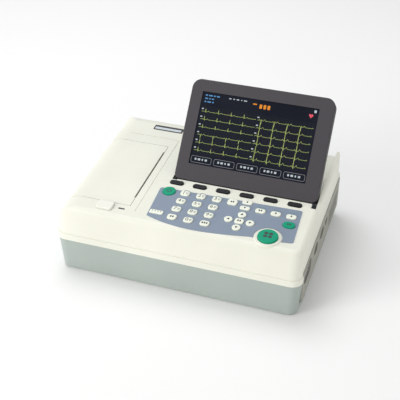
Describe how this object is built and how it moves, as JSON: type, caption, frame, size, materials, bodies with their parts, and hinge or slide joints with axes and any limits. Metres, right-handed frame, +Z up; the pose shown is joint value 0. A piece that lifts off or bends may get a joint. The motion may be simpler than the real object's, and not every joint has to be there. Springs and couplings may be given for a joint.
{
  "type": "ecg machine",
  "caption": "Bench ECG recorder with a tilting display, a drop-in chart printer under a hinged door, a sloping deck of keys and sockets on its side.",
  "frame": {"origin": "centre of the base on the surface it stands on", "axes": "+X to the right along the long side, +Y to the rear, +Z up; keys face -Y"},
  "size_m": [0.316, 0.244, 0.2005],
  "materials": {
    "case_cream": "fine spark-eroded texture, cream ABS",
    "latch_cream": "smooth cream ABS",
    "case_grey": "fine texture, grey-green ABS",
    "panel_grey": "fine texture, warm grey ABS",
    "overlay_blue": "printed polyester film, blue-grey",
    "display_dark": "satin dark grey ABS",
    "display_shell": "satin near-black ABS",
    "lcd_screen": "glossy screen",
    "key_cream": "satin moulded keys",
    "key_green": "smooth green keys",
    "key_black": "black silicone keys",
    "rubber_black": "black rubber",
    "steel": "bright steel",
    "gear_white": "acetal gear and shaft",
    "gear_brass": "cut brass",
    "motor_metal": "painted can",
    "head_aluminium": "extruded heat sink",
    "tray_grey": "dark grey moulding",
    "paper_white": "thermal chart paper",
    "board_green": "solder-masked board",
    "supply_metal": "folded sheet case",
    "battery_wrap": "shrink wrap",
    "socket_nickel": "nickel-plated shells",
    "inlet_black": "black inlet body"
  },
  "bodies": {
    "base": {"lower_case": "case_grey", "upper_case": "case_cream", "side_panel": "panel_grey", "keypad_overlay": "overlay_blue", "display_hinge_pins": "steel", "door_hinge_pin": "steel", "case_screws": "steel", "rubber_feet": "rubber_black", "feed_motor": "motor_metal", "print_head": "head_aluminium", "paper_tray": "tray_grey", "main_board": "board_green", "key_board": "board_green", "power_supply": "supply_metal", "battery_pack": "battery_wrap", "battery_cover": "case_grey", "patient_connector": "socket_nickel", "data_ports": "socket_nickel", "rear_connectors": "inlet_black"},
    "display": {"display_bezel": "display_dark", "lcd_module": "lcd_screen", "display_rear_cover": "display_shell"},
    "door": {"printer_door": "case_cream"},
    "latch": {"door_latch": "latch_cream"},
    "platen": {"platen_roller": "rubber_black", "platen_gear": "gear_white"},
    "pinion": {"motor_pinion": "gear_brass"},
    "roll": {"paper_roll": "paper_white"},
    "key_1_body": {"key_1": "key_cream"},
    "key_2_body": {"key_2": "key_cream"},
    "key_3_body": {"key_3": "key_cream"},
    "key_4_body": {"key_4": "key_cream"},
    "key_5_body": {"key_5": "key_cream"},
    "key_6_body": {"key_6": "key_cream"},
    "key_7_body": {"key_7": "key_cream"},
    "key_8_body": {"key_8": "key_cream"},
    "key_9_body": {"key_9": "key_cream"},
    "key_mode_body": {"key_mode": "key_cream"},
    "key_0_body": {"key_0": "key_cream"},
    "key_enter_body": {"key_enter": "key_cream"},
    "soft_key_1_body": {"soft_key_1": "key_black"},
    "soft_key_2_body": {"soft_key_2": "key_black"},
    "soft_key_3_body": {"soft_key_3": "key_black"},
    "soft_key_4_body": {"soft_key_4": "key_black"},
    "soft_key_5_body": {"soft_key_5": "key_black"},
    "soft_key_6_body": {"soft_key_6": "key_black"},
    "arrow_left_body": {"arrow_left": "key_cream"},
    "arrow_right_body": {"arrow_right": "key_cream"},
    "arrow_up_body": {"arrow_up": "key_cream"},
    "arrow_down_body": {"arrow_down": "key_cream"},
    "arrow_select_body": {"arrow_select": "key_cream"},
    "key_menu_body": {"key_menu": "key_cream"},
    "key_lead_body": {"key_lead": "key_cream"},
    "key_gain_body": {"key_gain": "key_cream"},
    "key_speed_body": {"key_speed": "key_cream"},
    "key_filter_body": {"key_filter": "key_cream"},
    "key_copy_body": {"key_copy": "key_cream"},
    "power_key_body": {"power_key": "key_green"},
    "feed_key_body": {"feed_key": "key_green"},
    "start_key_body": {"start_key": "key_green"}
  },
  "joints": [
    {"name": "display_tilt", "type": "hinge", "parent": "base", "child": "display", "pos_m": [0.05, -0.0142, 0.09205], "axis": [1, 0, 0], "range_deg": [-48, 3]},
    {"name": "door_open", "type": "hinge", "parent": "base", "child": "door", "pos_m": [-0.1535, -0.02, 0.0635], "axis": [0, -1, 0], "range_deg": [0, 90]},
    {"name": "latch_press", "type": "slide", "parent": "base", "child": "latch", "axis": [0, 0.0579, -0.9983], "range_m": [0, 0.0015], "stiffness_N_per_m": 400},
    {"name": "platen_spin", "type": "hinge", "parent": "door", "child": "platen", "pos_m": [-0.074, -0.02, 0.0815], "axis": [0, 1, 0], "continuous": true},
    {"name": "pinion_spin", "type": "hinge", "parent": "base", "child": "pinion", "pos_m": [-0.06932, 0.05, 0.06604], "axis": [0, 1, 0], "continuous": true},
    {"name": "roll_spin", "type": "hinge", "parent": "base", "child": "roll", "pos_m": [-0.112, -0.02, 0.057], "axis": [0, 1, 0], "continuous": true},
    {"name": "key_1_press", "type": "slide", "parent": "base", "child": "key_1_body", "axis": [0, 0.0579, -0.9983], "range_m": [0, 0.001], "stiffness_N_per_m": 300},
    {"name": "key_2_press", "type": "slide", "parent": "base", "child": "key_2_body", "axis": [0, 0.0579, -0.9983], "range_m": [0, 0.001], "stiffness_N_per_m": 300},
    {"name": "key_3_press", "type": "slide", "parent": "base", "child": "key_3_body", "axis": [0, 0.0579, -0.9983], "range_m": [0, 0.001], "stiffness_N_per_m": 300},
    {"name": "key_4_press", "type": "slide", "parent": "base", "child": "key_4_body", "axis": [0, 0.0579, -0.9983], "range_m": [0, 0.001], "stiffness_N_per_m": 300},
    {"name": "key_5_press", "type": "slide", "parent": "base", "child": "key_5_body", "axis": [0, 0.0579, -0.9983], "range_m": [0, 0.001], "stiffness_N_per_m": 300},
    {"name": "key_6_press", "type": "slide", "parent": "base", "child": "key_6_body", "axis": [0, 0.0579, -0.9983], "range_m": [0, 0.001], "stiffness_N_per_m": 300},
    {"name": "key_7_press", "type": "slide", "parent": "base", "child": "key_7_body", "axis": [0, 0.0579, -0.9983], "range_m": [0, 0.001], "stiffness_N_per_m": 300},
    {"name": "key_8_press", "type": "slide", "parent": "base", "child": "key_8_body", "axis": [0, 0.0579, -0.9983], "range_m": [0, 0.001], "stiffness_N_per_m": 300},
    {"name": "key_9_press", "type": "slide", "parent": "base", "child": "key_9_body", "axis": [0, 0.0579, -0.9983], "range_m": [0, 0.001], "stiffness_N_per_m": 300},
    {"name": "key_mode_press", "type": "slide", "parent": "base", "child": "key_mode_body", "axis": [0, 0.0579, -0.9983], "range_m": [0, 0.001], "stiffness_N_per_m": 300},
    {"name": "key_0_press", "type": "slide", "parent": "base", "child": "key_0_body", "axis": [0, 0.0579, -0.9983], "range_m": [0, 0.001], "stiffness_N_per_m": 300},
    {"name": "key_enter_press", "type": "slide", "parent": "base", "child": "key_enter_body", "axis": [0, 0.0579, -0.9983], "range_m": [0, 0.001], "stiffness_N_per_m": 300},
    {"name": "soft_key_1_press", "type": "slide", "parent": "base", "child": "soft_key_1_body", "axis": [0, 0.0579, -0.9983], "range_m": [0, 0.001], "stiffness_N_per_m": 300},
    {"name": "soft_key_2_press", "type": "slide", "parent": "base", "child": "soft_key_2_body", "axis": [0, 0.0579, -0.9983], "range_m": [0, 0.001], "stiffness_N_per_m": 300},
    {"name": "soft_key_3_press", "type": "slide", "parent": "base", "child": "soft_key_3_body", "axis": [0, 0.0579, -0.9983], "range_m": [0, 0.001], "stiffness_N_per_m": 300},
    {"name": "soft_key_4_press", "type": "slide", "parent": "base", "child": "soft_key_4_body", "axis": [0, 0.0579, -0.9983], "range_m": [0, 0.001], "stiffness_N_per_m": 300},
    {"name": "soft_key_5_press", "type": "slide", "parent": "base", "child": "soft_key_5_body", "axis": [0, 0.0579, -0.9983], "range_m": [0, 0.001], "stiffness_N_per_m": 300},
    {"name": "soft_key_6_press", "type": "slide", "parent": "base", "child": "soft_key_6_body", "axis": [0, 0.0579, -0.9983], "range_m": [0, 0.001], "stiffness_N_per_m": 300},
    {"name": "arrow_left_press", "type": "slide", "parent": "base", "child": "arrow_left_body", "axis": [0, 0.0579, -0.9983], "range_m": [0, 0.001], "stiffness_N_per_m": 300},
    {"name": "arrow_right_press", "type": "slide", "parent": "base", "child": "arrow_right_body", "axis": [0, 0.0579, -0.9983], "range_m": [0, 0.001], "stiffness_N_per_m": 300},
    {"name": "arrow_up_press", "type": "slide", "parent": "base", "child": "arrow_up_body", "axis": [0, 0.0579, -0.9983], "range_m": [0, 0.001], "stiffness_N_per_m": 300},
    {"name": "arrow_down_press", "type": "slide", "parent": "base", "child": "arrow_down_body", "axis": [0, 0.0579, -0.9983], "range_m": [0, 0.001], "stiffness_N_per_m": 300},
    {"name": "arrow_select_press", "type": "slide", "parent": "base", "child": "arrow_select_body", "axis": [0, 0.0579, -0.9983], "range_m": [0, 0.001], "stiffness_N_per_m": 300},
    {"name": "key_menu_press", "type": "slide", "parent": "base", "child": "key_menu_body", "axis": [0, 0.0579, -0.9983], "range_m": [0, 0.001], "stiffness_N_per_m": 300},
    {"name": "key_lead_press", "type": "slide", "parent": "base", "child": "key_lead_body", "axis": [0, 0.0579, -0.9983], "range_m": [0, 0.001], "stiffness_N_per_m": 300},
    {"name": "key_gain_press", "type": "slide", "parent": "base", "child": "key_gain_body", "axis": [0, 0.0579, -0.9983], "range_m": [0, 0.001], "stiffness_N_per_m": 300},
    {"name": "key_speed_press", "type": "slide", "parent": "base", "child": "key_speed_body", "axis": [0, 0.0579, -0.9983], "range_m": [0, 0.001], "stiffness_N_per_m": 300},
    {"name": "key_filter_press", "type": "slide", "parent": "base", "child": "key_filter_body", "axis": [0, 0.0579, -0.9983], "range_m": [0, 0.001], "stiffness_N_per_m": 300},
    {"name": "key_copy_press", "type": "slide", "parent": "base", "child": "key_copy_body", "axis": [0, 0.0579, -0.9983], "range_m": [0, 0.001], "stiffness_N_per_m": 300},
    {"name": "power_key_press", "type": "slide", "parent": "base", "child": "power_key_body", "axis": [0, 0.0579, -0.9983], "range_m": [0, 0.001], "stiffness_N_per_m": 300},
    {"name": "feed_key_press", "type": "slide", "parent": "base", "child": "feed_key_body", "axis": [0, 0.0579, -0.9983], "range_m": [0, 0.001], "stiffness_N_per_m": 300},
    {"name": "start_key_press", "type": "slide", "parent": "base", "child": "start_key_body", "axis": [0, 0.0579, -0.9983], "range_m": [0, 0.001], "stiffness_N_per_m": 300}
  ],
  "couplings": [
    {"joint": "pinion_spin", "follows": "platen_spin", "ratio": -1.6667}
  ]
}
